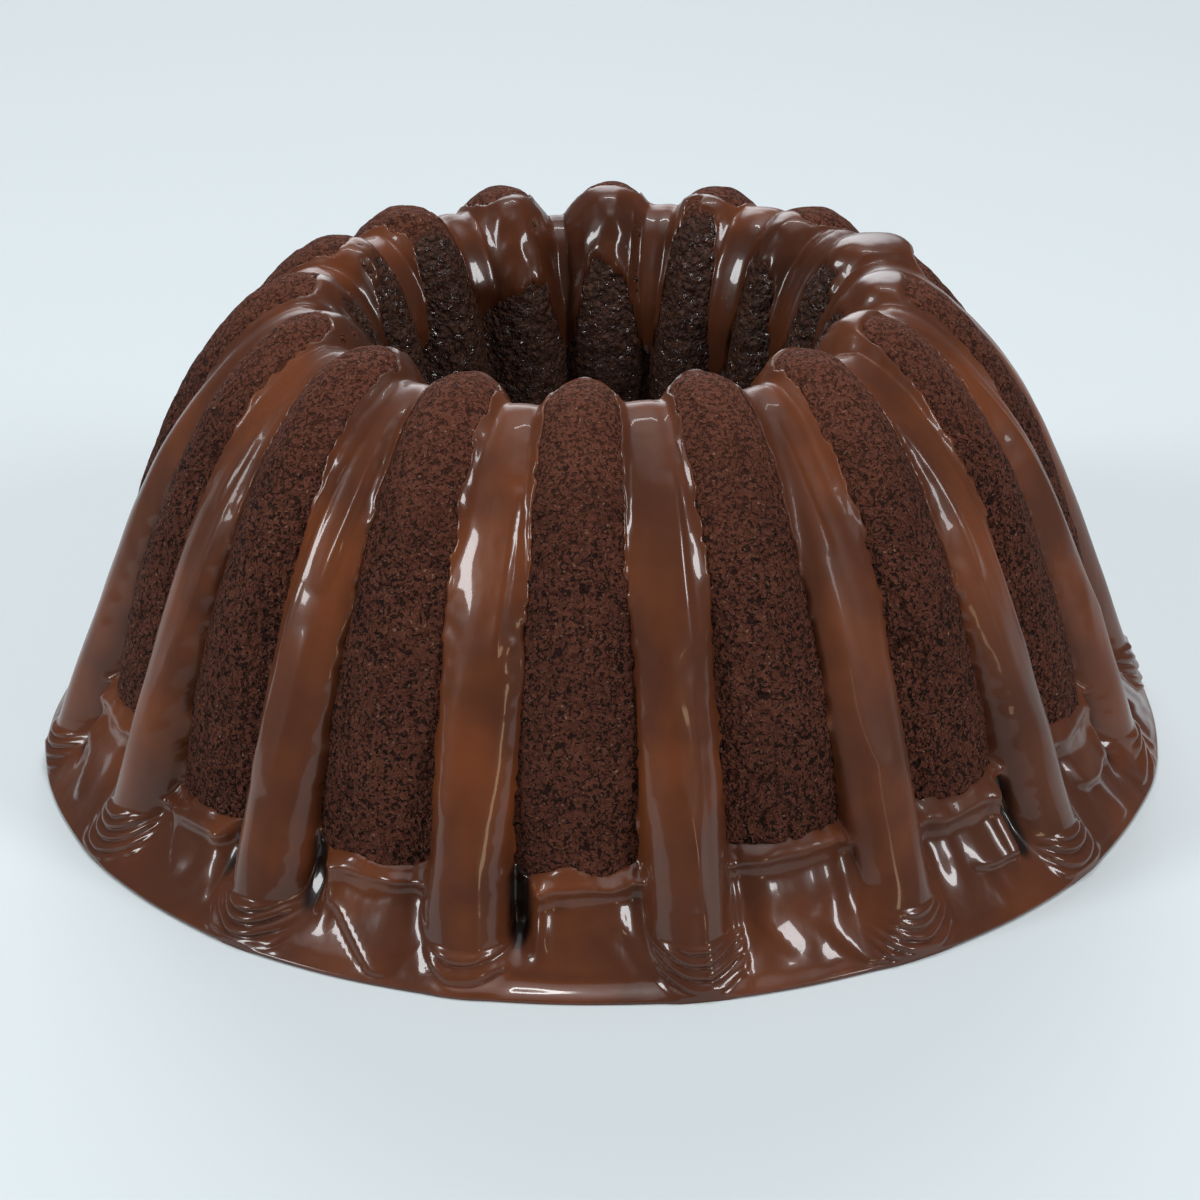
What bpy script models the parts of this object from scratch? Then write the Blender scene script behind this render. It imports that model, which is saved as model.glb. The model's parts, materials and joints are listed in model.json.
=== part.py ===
# Chocolate bundt cake under a poured chocolate glaze. Metres, +Z up.
# The origin is the middle of the cake's foot, on the surface that it stands on.
# Angles go round from the front, -Y, towards +X.
import math

import bmesh
import bpy
from mathutils import Vector

# The cake, as its fluted tube pan leaves it
RIBS = 16
FIRST_RIB = math.radians(-2.84)
FOOT_RADIUS = 0.1086
CREST_RADIUS = 0.0612
HEIGHT = 0.1032
OUTER_POWER = 1.7
THROAT_RADIUS = 0.0396
THROAT_HEIGHT = 0.0540
INNER_POWER = 2.0
HOLE_FOOT_RADIUS = 0.0324
CORE_HEIGHT = 0.0500
FLUTE_AT_FOOT = 0.0085
FLUTE_AT_CREST = 0.0120
FLUTE_IN_HOLE = 0.0030
LOBE_POWER = 0.85

# The glaze's streams, one in each valley: how far each reaches past the cake's foot, in
# millimetres, from the valley to the right of the front rib round through +X
STREAM_REACH_MM = (
    15.6, 14.0, 13.8, 12.6, 15.8, 13.4, 14.6, 15.2,
    15.4, 13.2, 14.4, 17.4, 14.4, 12.2, 14.2, 13.0,
)
STREAM_BELOW_CREST = 0.0054
STREAM_POWER = 1.75
STREAM_ROUNDNESS = 1.3
TOE_ROUNDING = 0.0040
TOE_HEIGHT = 0.0070

# The glaze's pool and its apron: how high it climbs each rib, in millimetres, from the
# front rib round through +X
APRON_HEIGHT_MM = (
    21.0, 24.5, 23.0, 24.0, 18.0, 20.0, 22.0, 21.0,
    24.0, 22.0, 19.0, 20.0, 24.0, 18.0, 17.5, 19.5,
)
POOL_RADIUS = 0.1195
APRON_EDGE = 0.0045
APRON_FILM = 0.0016
APRON_POWER = 2.4
RIB_DIP_AT_CREST = 0.0015
RIB_DIP_AT_FOOT = 0.0480

# The glaze in the hole: a collar over the ribs, and longer runs in the valleys
COLLAR_FILM = 0.0011
COLLAR_START = 0.0010
COLLAR_FULL = 0.0060
COLLAR_DEPTH = 0.0170
COLLAR_EDGE = 0.0060
COLLAR_END_DIP = 0.0060
RUN_DEPTH = 0.0340
RUN_EDGE = 0.0090
RUN_END_DIP = 0.0160

# The inner side of the glaze's ring lies inside the cake, which is cut out of it
BURIED_DEPTH = 0.0220
BURIED_BELOW = 0.9
GAP = 0.0003
CUTTER_DEPTH = 0.0100

# Rows and columns of the walls
COLUMNS_A_RIB = 8
OUTER_STEPS = 10
INNER_STEPS = 5
FOOT_BAND = 0.0260
FOOT_STEPS = 5
SAME_POINT = 0.000001

# Colour and roughness
CRUMB_COLOUR = (0.072, 0.026, 0.017, 1.0)
CRUMB_ROUGHNESS = 0.85
GLAZE_COLOUR = (0.098, 0.034, 0.017, 1.0)
GLAZE_ROUGHNESS = 0.16

COLUMNS = RIBS * COLUMNS_A_RIB
RIB_PITCH = 2 * math.pi / RIBS


def clear_scene():
    for found in list(bpy.data.objects):
        bpy.data.objects.remove(found, do_unlink=True)


def new_collection(name):
    made = bpy.data.collections.new(name)
    bpy.context.scene.collection.children.link(made)
    return made


def plain_material(name, colour, roughness):
    made = bpy.data.materials.new(name)
    made.use_nodes = True
    shader = made.node_tree.nodes["Principled BSDF"]
    shader.inputs["Base Color"].default_value = colour
    shader.inputs["Roughness"].default_value = roughness
    shader.inputs["Metallic"].default_value = 0.0
    made.diffuse_color = colour
    return made


def blend(low, high, amount):
    return low + (high - low) * amount


def smooth_step(low, high, value):
    part = min(max((value - low) / (high - low), 0.0), 1.0)
    return part * part * (3 - 2 * part)


# The outline along a rib's crest, as points of radius and height

def outer_wall():
    """From the foot to just under the crest, a rounded shoulder."""
    points = []
    for step in range(OUTER_STEPS):
        turn = math.pi / 2 * step / OUTER_STEPS
        across = math.cos(turn) ** (2 / OUTER_POWER)
        up = math.sin(turn) ** (2 / OUTER_POWER)
        points.append((blend(CREST_RADIUS, FOOT_RADIUS, across), HEIGHT * up))
    return points


def foot_band():
    """Closer rows at the foot, where the glaze rounds over and pools."""
    points = []
    for step in range(FOOT_STEPS):
        height = FOOT_BAND * step / FOOT_STEPS
        across = (1 - (height / HEIGHT) ** OUTER_POWER) ** (1 / OUTER_POWER)
        points.append((blend(CREST_RADIUS, FOOT_RADIUS, across), height))
    return points


def inner_wall():
    """From the crest to the throat of the hole."""
    points = []
    for step in range(INNER_STEPS + 1):
        turn = math.pi / 2 * step / INNER_STEPS
        radius = blend(CREST_RADIUS, THROAT_RADIUS, math.sin(turn))
        points.append((radius, blend(THROAT_HEIGHT, HEIGHT, math.cos(turn))))
    return points


def cake_outline():
    return outer_wall() + inner_wall() + [(HOLE_FOOT_RADIUS, 0.0)]


def glaze_outline():
    """The outline as far as the glaze covers it, closed inside the cake."""
    shoulder = [point for point in outer_wall() if point[1] >= FOOT_BAND]
    in_hole = [point for point in inner_wall() if HEIGHT - point[1] <= RUN_DEPTH + RUN_EDGE]
    foot = FOOT_RADIUS - BURIED_DEPTH
    buried = [(CREST_RADIUS, THROAT_HEIGHT), (foot, THROAT_HEIGHT / 2), (foot, 0.0)]
    return foot_band() + shoulder + in_hole + buried


def outward(radius, height):
    """Direction out of the ring's core: level below its top, fanned out above."""
    across = radius - CREST_RADIUS
    up = max(height - CORE_HEIGHT, 0.0)
    length = math.hypot(across, up)
    return across / length, up / length


def is_buried(radius, height):
    """True for the points of the glaze's ring that lie deep inside the cake."""
    if radius >= CREST_RADIUS:
        across = (radius - CREST_RADIUS) / (FOOT_RADIUS - CREST_RADIUS)
        return across ** OUTER_POWER + (height / HEIGHT) ** OUTER_POWER < BURIED_BELOW
    across = (CREST_RADIUS - radius) / (CREST_RADIUS - THROAT_RADIUS)
    up = max(height - THROAT_HEIGHT, 0.0) / (HEIGHT - THROAT_HEIGHT)
    return across ** INNER_POWER + up ** INNER_POWER < BURIED_BELOW


# The cake's flutes

def turns_of(angle):
    """Angle counted in ribs from the front one."""
    return (angle - FIRST_RIB) / RIB_PITCH


def rib_place(angle):
    """Distance from the nearest rib's crest, from -0.5 to 0.5 of the pitch."""
    turns = turns_of(angle)
    return turns - math.floor(turns + 0.5)


def flute_depth(radius, height):
    rise = height / HEIGHT
    if radius >= CREST_RADIUS:
        return blend(FLUTE_AT_FOOT, FLUTE_AT_CREST, smooth_step(0.0, 0.8, rise))
    return blend(FLUTE_IN_HOLE, FLUTE_AT_CREST, smooth_step(0.3, 1.0, rise))


def cake_offset(angle, radius, height):
    lobe = max(math.cos(math.pi * rib_place(angle)), 0.0) ** LOBE_POWER
    return -flute_depth(radius, height) * (1 - lobe)


# The glaze's thickness, from the line of the ribs' crests

def toe_rounding(height):
    return TOE_ROUNDING * max(1 - height / TOE_HEIGHT, 0.0) ** 2


def stream_offset(angle, height):
    """Middle of a stream: sunk in its valley at the top, bulging out at the foot."""
    number = math.floor(turns_of(angle)) % RIBS
    reach = STREAM_REACH_MM[number] / 1000
    fall = max(1 - height / HEIGHT, 0.0) ** STREAM_POWER
    return blend(-STREAM_BELOW_CREST, reach, fall) - toe_rounding(height)


def rib_offset(angle, height):
    """Over a rib: below the bare crumb above, an apron and the pool at the foot."""
    number = math.floor(turns_of(angle) + 0.5) % RIBS
    top = APRON_HEIGHT_MM[number] / 1000
    dip = -RIB_DIP_AT_CREST - RIB_DIP_AT_FOOT * (1 - height / HEIGHT) ** 2
    slump = max(1 - height / top, 0.0) ** APRON_POWER
    pool = POOL_RADIUS - FOOT_RADIUS + TOE_ROUNDING / 2
    apron = blend(APRON_FILM, pool, slump) - toe_rounding(height) / 2
    bare = smooth_step(top - APRON_EDGE, top + APRON_EDGE, height)
    return blend(apron, dip, bare)


def hole_offsets(height):
    """Middle of a valley and middle of a rib, inside the hole."""
    below = HEIGHT - height
    run_end = smooth_step(RUN_DEPTH - RUN_EDGE, RUN_DEPTH, below)
    valley = blend(-STREAM_BELOW_CREST, -RUN_END_DIP, run_end)
    film = blend(-RIB_DIP_AT_CREST, COLLAR_FILM, smooth_step(COLLAR_START, COLLAR_FULL, below))
    collar_end = smooth_step(COLLAR_DEPTH - COLLAR_EDGE, COLLAR_DEPTH, below)
    rib = blend(film, -COLLAR_END_DIP, collar_end)
    return valley, blend(rib, -RUN_END_DIP, run_end)


def glaze_offset(angle, radius, height):
    if radius >= CREST_RADIUS:
        valley = stream_offset(angle, height)
        rib = rib_offset(angle, height)
    else:
        valley, rib = hole_offsets(height)
    roundness = blend(STREAM_ROUNDNESS, 1.0, smooth_step(0.0, HEIGHT / 2, height))
    over_rib = math.cos(math.pi * rib_place(angle)) ** (2 * roundness)
    return blend(valley, rib, over_rib)


# Solids

def ring_solid(outline):
    """A closed outline of radius and height, spun round the axis in columns."""
    mesh = bmesh.new()
    sine = math.sin(FIRST_RIB)
    cosine = math.cos(FIRST_RIB)
    corners = [mesh.verts.new((radius * sine, -radius * cosine, height)) for radius, height in outline]
    edges = [mesh.edges.new((corners[number - 1], corners[number])) for number in range(len(corners))]
    bmesh.ops.spin(
        mesh,
        geom=corners + edges,
        cent=(0, 0, 0),
        axis=(0, 0, 1),
        angle=2 * math.pi,
        steps=COLUMNS,
        use_merge=True,
    )
    bmesh.ops.remove_doubles(mesh, verts=mesh.verts, dist=SAME_POINT)
    bmesh.ops.recalc_face_normals(mesh, faces=mesh.faces)
    return mesh


def push_wall(mesh, offset):
    """Move each point of the outline out by its offset."""
    for vert in mesh.verts:
        radius = math.hypot(vert.co.x, vert.co.y)
        height = max(vert.co.z, 0.0)
        if is_buried(radius, height):
            continue
        angle = math.atan2(vert.co.x, -vert.co.y)
        across, up = outward(radius, height)
        move = offset(angle, radius, height)
        spoke = Vector((math.sin(angle), -math.cos(angle), 0.0))
        vert.co += spoke * (move * across) + Vector((0.0, 0.0, move * up))
    bmesh.ops.triangulate(mesh, faces=mesh.faces, quad_method="FIXED")


def grow(mesh, gap):
    """Move every face out by the gap."""
    mesh.normal_update()
    moves = [vert.normal * (gap * vert.calc_shell_factor()) for vert in mesh.verts]
    for vert, move in zip(mesh.verts, moves):
        vert.co += move


def object_from(mesh, name, collection, material):
    data = bpy.data.meshes.new(name)
    mesh.to_mesh(data)
    mesh.free()
    data.materials.append(material)
    data.shade_smooth()
    made = bpy.data.objects.new(name, data)
    collection.objects.link(made)
    return made


def make_cake(collection):
    crumb = plain_material("chocolate crumb", CRUMB_COLOUR, CRUMB_ROUGHNESS)
    mesh = ring_solid(cake_outline())
    push_wall(mesh, cake_offset)
    return object_from(mesh, "cake", collection, crumb)


def make_cake_space(collection, material):
    """The cake grown by the gap and carried on below its foot, to cut the glaze with."""
    below = [(HOLE_FOOT_RADIUS, -CUTTER_DEPTH), (FOOT_RADIUS, -CUTTER_DEPTH)]
    mesh = ring_solid(cake_outline() + below)
    push_wall(mesh, cake_offset)
    grow(mesh, GAP)
    cutter = object_from(mesh, "cake_space", collection, material)
    cutter.hide_render = True
    cutter.display_type = "WIRE"
    return cutter


def make_glaze(collection, cutters):
    glaze = plain_material("chocolate glaze", GLAZE_COLOUR, GLAZE_ROUGHNESS)
    mesh = ring_solid(glaze_outline())
    push_wall(mesh, glaze_offset)
    made = object_from(mesh, "glaze", collection, glaze)
    cut = made.modifiers.new("room for the cake", "BOOLEAN")
    cut.operation = "DIFFERENCE"
    cut.solver = "EXACT"
    cut.object = make_cake_space(cutters, glaze)
    return made


def main():
    clear_scene()
    parts = new_collection("bundt cake")
    cutters = new_collection("cutters")
    make_cake(parts)
    make_glaze(parts, cutters)


main()
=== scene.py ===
# %% [markdown]
# # A glazed chocolate bundt cake
# The real thing is two foods: a fluted ring of chocolate crumb, and a chocolate glaze that was
# poured over its top. The glaze ran down the flutes in thick streams, left the ribs bare and
# met the plate in one wavy pool. This lesson builds both as grids of points that follow the
# outline of the cake, because a poured glaze is easiest to think of as a thickness on that outline.

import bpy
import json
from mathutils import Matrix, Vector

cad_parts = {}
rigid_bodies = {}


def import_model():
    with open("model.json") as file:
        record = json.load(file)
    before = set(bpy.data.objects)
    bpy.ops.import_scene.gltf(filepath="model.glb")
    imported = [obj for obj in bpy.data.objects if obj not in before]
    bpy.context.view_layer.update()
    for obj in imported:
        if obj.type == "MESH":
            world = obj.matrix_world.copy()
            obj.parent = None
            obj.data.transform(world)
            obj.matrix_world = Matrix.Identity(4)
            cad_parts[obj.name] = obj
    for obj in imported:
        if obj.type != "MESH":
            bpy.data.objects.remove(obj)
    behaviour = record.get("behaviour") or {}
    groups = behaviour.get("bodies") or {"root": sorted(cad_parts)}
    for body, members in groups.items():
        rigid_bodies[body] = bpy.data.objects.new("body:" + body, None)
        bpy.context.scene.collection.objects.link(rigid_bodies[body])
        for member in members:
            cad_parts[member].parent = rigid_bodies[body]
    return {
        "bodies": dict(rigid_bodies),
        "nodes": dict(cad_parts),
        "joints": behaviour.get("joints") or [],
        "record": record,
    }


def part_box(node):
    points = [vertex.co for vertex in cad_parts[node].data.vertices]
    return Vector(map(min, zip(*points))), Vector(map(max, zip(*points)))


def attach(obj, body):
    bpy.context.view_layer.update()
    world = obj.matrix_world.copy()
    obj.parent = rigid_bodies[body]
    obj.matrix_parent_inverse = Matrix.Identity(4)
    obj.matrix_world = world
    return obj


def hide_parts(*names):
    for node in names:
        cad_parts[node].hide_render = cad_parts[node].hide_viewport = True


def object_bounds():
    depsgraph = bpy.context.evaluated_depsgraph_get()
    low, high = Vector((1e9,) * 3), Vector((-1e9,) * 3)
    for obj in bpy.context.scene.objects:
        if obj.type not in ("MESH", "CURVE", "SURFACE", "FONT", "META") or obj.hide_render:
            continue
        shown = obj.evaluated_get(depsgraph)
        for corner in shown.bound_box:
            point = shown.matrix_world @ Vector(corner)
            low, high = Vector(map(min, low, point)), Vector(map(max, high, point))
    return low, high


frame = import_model()
print("packed model loaded:", type(frame).__name__)

# %% Keep the box of the solids
import json
import math

import bpy
import numpy as np
from mathutils import Matrix, Vector

SOLID_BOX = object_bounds()
print("box of the solids:", [[round(c, 4) for c in corner] for corner in SOLID_BOX])

# %% [markdown]
# ## The camera
# The camera could be placed by eye, but here its place was worked out from where the rib tips
# and the foot of the cake fall in the picture. It stands in front of the cake, looks down on it
# by about 25 degrees, and is rolled by a little over half a degree, as a hand-held camera is.

# %% Set up the camera
CAMERA_PLACE = Vector((0.0, -0.70022, 0.35492))
CAMERA_PITCH = 0.436049
CAMERA_YAW = -0.000176
CAMERA_ROLL = -0.010986
LENS_MM = 107.44


def make_camera():
    """A long-lens camera at the angle of the picture."""
    camera = bpy.data.objects.new("camera", bpy.data.cameras.new("camera"))
    bpy.context.scene.collection.objects.link(camera)
    forward = Vector((math.sin(CAMERA_YAW) * math.cos(CAMERA_PITCH),
                      math.cos(CAMERA_YAW) * math.cos(CAMERA_PITCH),
                      -math.sin(CAMERA_PITCH)))
    level = forward.cross(Vector((0, 0, 1))).normalized()
    raised = level.cross(forward)
    right = level * math.cos(CAMERA_ROLL) + raised * math.sin(CAMERA_ROLL)
    up = raised * math.cos(CAMERA_ROLL) - level * math.sin(CAMERA_ROLL)
    turned = Matrix((right, up, -forward)).transposed().to_4x4()
    camera.matrix_world = Matrix.Translation(CAMERA_PLACE) @ turned
    camera.data.lens = LENS_MM
    camera.data.clip_start = 0.01
    return camera


bpy.context.scene.camera = make_camera()

# %% [markdown]
# ## The outline of the cake
# A ring cake is turned from one outline: a broad outer wall, a crest, and a steeper wall down
# the hole. A superellipse gives the outer wall its full shoulders, which an ellipse would not.
# All lengths from here on are millimetres, and the angle runs from the front towards +X.

# %% Read the main sizes from the solids
MM = 0.001
RIBS = 16
PITCH = 2 * math.pi / RIBS
FIRST_RIB = math.radians(-2.84)

cake_low, cake_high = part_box("cake")
HEIGHT = cake_high.z / MM
FOOT_RADIUS = (cake_high.x - cake_low.x) / 2 / MM / math.cos(FIRST_RIB)
CREST_RADIUS = 0.5635 * FOOT_RADIUS
THROAT_RADIUS = 0.3646 * FOOT_RADIUS
THROAT_HEIGHT = 0.5233 * HEIGHT
HOLE_FOOT_RADIUS = 0.2983 * FOOT_RADIUS
CORE_HEIGHT = 0.4845 * HEIGHT
OUTER_POWER = 1.7
print(f"foot radius {FOOT_RADIUS:.1f} mm, height {HEIGHT:.1f} mm, crest radius {CREST_RADIUS:.1f} mm")


# %% Small helpers for shaping
def blend(low, high, share):
    """The value that lies this share of the way from low to high."""
    return low + (high - low) * share


def smooth_step(start, end, value):
    """A soft step from 0 at start to 1 at end."""
    share = np.clip((value - start) / (end - start), 0.0, 1.0)
    return share * share * (3 - 2 * share)


def soft_max(first, second, softness):
    """The larger of two heights, with the corner between them rounded."""
    lead = np.clip(0.5 + 0.5 * (first - second) / softness, 0.0, 1.0)
    return blend(second, first, lead) + softness * lead * (1 - lead)


def soft_ceiling(height, top, softness):
    """Heights kept between the floor and this top, with a rounded corner under the top."""
    return np.maximum(-soft_max(-height, np.full(height.shape, -top), softness), 0.0)


def spaced(start, end, count, closeness):
    """Places from start to end, laid closer together where closeness is high."""
    fine = np.linspace(start, end, 2000)
    filled = np.concatenate(([0.0], np.cumsum((closeness(fine)[1:] + closeness(fine)[:-1]) / 2)))
    return np.interp(np.linspace(0, filled[-1], count), filled, fine)


# %% The outline as a line of points, from the foot over the crest and down the hole
OUTER_STEPS = 500
HOLE_STEPS = 100


def outline():
    """Radius, height and path length along the turned outline."""
    turn = np.linspace(0, math.pi / 2, OUTER_STEPS)
    round_power = 2 / OUTER_POWER
    outer_r = CREST_RADIUS + (FOOT_RADIUS - CREST_RADIUS) * np.abs(np.cos(turn)) ** round_power
    outer_z = HEIGHT * np.sin(turn) ** round_power
    outer_r[-1] = CREST_RADIUS
    inner_r = CREST_RADIUS - (CREST_RADIUS - THROAT_RADIUS) * np.sin(turn)
    inner_z = THROAT_HEIGHT + (HEIGHT - THROAT_HEIGHT) * np.cos(turn)
    hole_r = np.linspace(THROAT_RADIUS, HOLE_FOOT_RADIUS, HOLE_STEPS)
    hole_z = np.linspace(THROAT_HEIGHT, 0, HOLE_STEPS)
    radius = np.concatenate((outer_r, inner_r[1:], hole_r[1:]))
    height = np.concatenate((outer_z, inner_z[1:], hole_z[1:]))
    path = np.concatenate(([0.0], np.cumsum(np.hypot(np.diff(radius), np.diff(height)))))
    return radius, height, path, path[OUTER_STEPS - 1]


OUTLINE_R, OUTLINE_Z, OUTLINE_PATH, CREST_PATH = outline()
print(f"outline {OUTLINE_PATH[-1]:.0f} mm long, its crest at {CREST_PATH:.0f} mm")


# %% [markdown]
# ## A grid that wraps the ring
# Each food is one closed skin: columns run round the cake, and rows run along the outline and
# back under it. Columns are packed where fine edges need them and spread where nothing happens,
# so the mesh stays light. The class keeps every number that the shaping needs for each point.

# %% The grid of one skin
class RingGrid:
    """Points on the outline of the cake, row by row and column by column."""

    def __init__(self, paths, columns_a_rib, closeness):
        one_rib = spaced(-0.5, 0.5, columns_a_rib + 1, closeness)[:-1]
        turns = np.concatenate([one_rib + rib for rib in range(RIBS)])
        self.paths = np.asarray(paths)
        self.turns, self.path = np.meshgrid(turns, self.paths)
        self.radius = np.interp(self.path, OUTLINE_PATH, OUTLINE_R)
        self.height = np.interp(self.path, OUTLINE_PATH, OUTLINE_Z)
        self.angle = FIRST_RIB + self.turns * PITCH
        self.past = self.path - CREST_PATH
        self.inside = self.past > 0
        self.rise = np.clip(self.height / HEIGHT, 0.0, 1.0)
        self.rib = np.floor(self.turns + 0.5).astype(int) % RIBS
        self.place = self.turns - np.floor(self.turns + 0.5)
        self.stream = np.floor(self.turns).astype(int) % RIBS
        away_r = self.radius - CREST_RADIUS
        away_z = np.maximum(self.height - CORE_HEIGHT, 0.0)
        length = np.hypot(away_r, away_z)
        self.push_r = away_r / length
        self.push_z = away_z / length
        self.points = self.at(np.zeros_like(self.radius))

    def at(self, offset, drop=0.0):
        """Points in millimetres, pushed out from the outline by the offset."""
        radius = self.radius + self.push_r * offset
        height = self.height + self.push_z * offset - drop
        return np.stack((radius * np.sin(self.angle), -radius * np.cos(self.angle), height), axis=-1)


# %% [markdown]
# ## Unevenness from repeatable noise
# Baked crumb and poured glaze are uneven at every scale. A whole-number hash gives each cell of
# a grid its own number, and blending between cells gives soft hills. It needs no stored random
# numbers, so the cake is the same each time the script runs.

# %% Noise in space
HASH_PRIMES = (73856093, 19349663, 83492791)


def cell_number(cells, seed):
    """A repeatable number from 0 to 1 for each whole-number cell."""
    mixed = np.full(cells[0].shape, (seed * 2654435761 + 97) % 2 ** 32, dtype=np.uint64)
    for cell, prime in zip(cells, HASH_PRIMES):
        mixed = (mixed ^ ((cell.astype(np.int64) * prime) % 2 ** 32).astype(np.uint64)) % 2 ** 32
        mixed = ((mixed ^ (mixed >> 15)) * 2246822519) % 2 ** 32
        mixed = ((mixed ^ (mixed >> 13)) * 3266489917) % 2 ** 32
    return mixed / 2.0 ** 32


def hills(points, size, seed):
    """Soft hills and hollows from -1 to 1, about as wide as size."""
    scaled = points / size
    base = np.floor(scaled)
    share = scaled - base
    share = share * share * (3 - 2 * share)
    total = 0.0
    for corner in np.ndindex(*(2,) * points.shape[-1]):
        weight = 1.0
        for axis, side in enumerate(corner):
            weight = weight * (share[..., axis] if side else 1 - share[..., axis])
        cells = [base[..., axis] + side for axis, side in enumerate(corner)]
        total = total + weight * cell_number(cells, seed)
    return total * 2 - 1


def pits(points, size, seed, widest=0.42, shallow=0.3):
    """Depth from 0 to 1 of round pits, scattered one to a cell of this size."""
    scaled = points / size
    base = np.floor(scaled)
    deepest = np.zeros(points.shape[:-1])
    for corner in np.ndindex(3, 3, 3):
        cells = [base[..., axis] + step - 1 for axis, step in enumerate(corner)]
        middle = [cell + cell_number(cells, seed + axis) for axis, cell in enumerate(cells)]
        away = sum((scaled[..., axis] - middle[axis]) ** 2 for axis in range(3))
        width = widest * blend(shallow, 1.0, cell_number(cells, seed + 7))
        fall = blend(0.5, 1.0, cell_number(cells, seed + 9))
        deepest = np.maximum(deepest, (1 - away / width ** 2) * fall)
    return np.clip(deepest, 0.0, 1.0)


def strands(grid, across, along, seed):
    """Noise in long strands that run down the cake, from -1 to 1."""
    circle = RIBS * across / (2 * math.pi)
    loop = np.stack((circle * np.sin(grid.angle), circle * np.cos(grid.angle), grid.path / along), axis=-1)
    return hills(loop, 1.0, seed)


# %% A skin from a grid
def ring_skin(name, points, extras):
    """A closed mesh from rows that wrap round the ring and back on themselves."""
    rows, columns = points.shape[:2]
    mesh = bpy.data.meshes.new(name)
    here = np.arange(rows * columns).reshape(rows, columns)
    right = np.roll(here, -1, axis=1)
    above = np.roll(here, -1, axis=0)
    beyond = np.roll(above, -1, axis=1)
    faces = np.stack((here, right, beyond, above), axis=-1).reshape(-1, 4)
    mesh.from_pydata((points.reshape(-1, 3) * MM).tolist(), [], faces.tolist())
    row, column = np.divmod(np.arange(rows * columns), columns)
    steps = np.array(((0, 0), (1, 0), (1, 1), (0, 1)))
    corners = (np.stack((column, row), axis=-1)[:, None, :] + steps) / (columns, rows)
    layer = mesh.uv_layers.new(name="OFBake")
    layer.data.foreach_set("uv", corners.astype(np.float32).ravel())
    for extra, values in extras.items():
        stored = mesh.attributes.new(extra, "FLOAT", "POINT")
        stored.data.foreach_set("value", values.astype(np.float32).ravel())
    mesh.shade_smooth()
    piece = bpy.data.objects.new(name, mesh)
    bpy.context.scene.collection.objects.link(piece)
    print(f"{name}: {rows} rows, {columns} columns, {len(mesh.polygons)} faces")
    return piece


# %% [markdown]
# ## The fluted crumb
# The tin gives the cake sixteen round ribs with narrow valleys between them. A cosine with a
# power under one makes ribs that are broad and valleys that are tight, where a plain sine wave
# would give both the same width. The flutes are deep at the crest and fade down the hole.

# %% The shape of the flutes
FLUTE_AT_FOOT = 8.5
FLUTE_AT_CREST = 12.0
FLUTE_IN_HOLE = 3.0
LOBE_POWER = 0.85
TOE_ROUNDING = 4.0
TOE_HEIGHT = 7.0


def flute(grid):
    """How far the fluted wall lies from the outline: 0 on a rib, deepest in a valley."""
    outer = blend(FLUTE_AT_FOOT, FLUTE_AT_CREST, smooth_step(0.0, 0.8, grid.rise))
    hole = blend(FLUTE_IN_HOLE, FLUTE_AT_CREST, smooth_step(0.3, 1.0, grid.rise))
    depth = np.where(grid.inside, hole, outer)
    return -depth * (1 - np.cos(math.pi * grid.place) ** LOBE_POWER)


def swell(grid):
    """The slow unevenness of the baked ring, in millimetres, gone at its foot."""
    lift = smooth_step(0.0, 6.0, grid.height)
    return lift * (0.55 * hills(grid.points, 24.0, 3) + 0.3 * hills(grid.points, 9.0, 4))


# %% [markdown]
# ## The relief of the crumb
# Crumb is a foam of small bubbles, cut open by the tin. Three sizes of relief make it: grains
# about two millimetres wide, pits where bubbles opened, and a few long cracks between them.
# They are real geometry, so they still read at the edge of the cake.

# %% Grains, pits and cracks
CRACK_WIDTH = 0.055


def crumb_relief(points):
    """Height in millimetres of the broken surface, and how deep in a pit a point is."""
    grain = 0.20 * hills(points, 2.4, 11) + 0.14 * hills(points, 1.3, 12)
    large = pits(points, 7.5, 21, widest=0.18)
    small = pits(points, 2.9, 31, widest=0.36, shallow=0.15)
    valley_line = np.abs(hills(points * (1, 1, 0.45), 8.0, 41) + 0.15 * hills(points, 2.6, 42))
    where = smooth_step(0.25, 0.6, hills(points, 16.0, 43))
    crack = (1 - smooth_step(0.0, CRACK_WIDTH, valley_line)) * where
    relief = grain - 0.9 * large - 0.6 * small - 0.6 * crack
    return relief, np.maximum(np.maximum(large * 0.7, small * 0.6), crack * 0.8)


# %% Rows and columns of the crumb
OUTER_STOP = 14.0
BASE_ROWS = 7


def crumb_closeness(path):
    """Fine rows on the walls that show, coarse rows under the glaze and deep in the hole."""
    shows = smooth_step(OUTER_STOP - 4, OUTER_STOP, path) * (1 - smooth_step(30, 62, path - CREST_PATH))
    return 0.3 + 0.9 * shows


CRUMB_ROWS = 170
CRUMB_COLUMNS = 38


def crumb_columns(place):
    """Fine columns where the crumb is bare, coarse ones under the streams."""
    return np.where(np.abs(place) < 0.33, 1.0, 0.42)


crumb_paths = spaced(0, OUTLINE_PATH[-1], CRUMB_ROWS, crumb_closeness)
crumb_grid = RingGrid(crumb_paths, CRUMB_COLUMNS, crumb_columns)

# %% [markdown]
# ## Where the crumb is wet
# Inside the hole the crumb soaked up glaze: it glistens, while the ribs outside are dry and dull.
# There it is also painted nearly black-brown, partly for the soaked crumb and partly as painted
# shade in the hole. The skin stores this as one number for each point, which the finish reads
# later. A texture mask would need its own picture of the same shape.

# %% Build the crumb
def base_ring(points, rows):
    """Rows that close the skin across the flat base, from the hole back to the foot."""
    share = np.linspace(0, 1, rows + 2)[1:-1, None, None]
    return blend(points[-1][None], points[0][None], share) * (1, 1, 0)


CRUMB_UNDER = 0.4

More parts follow.
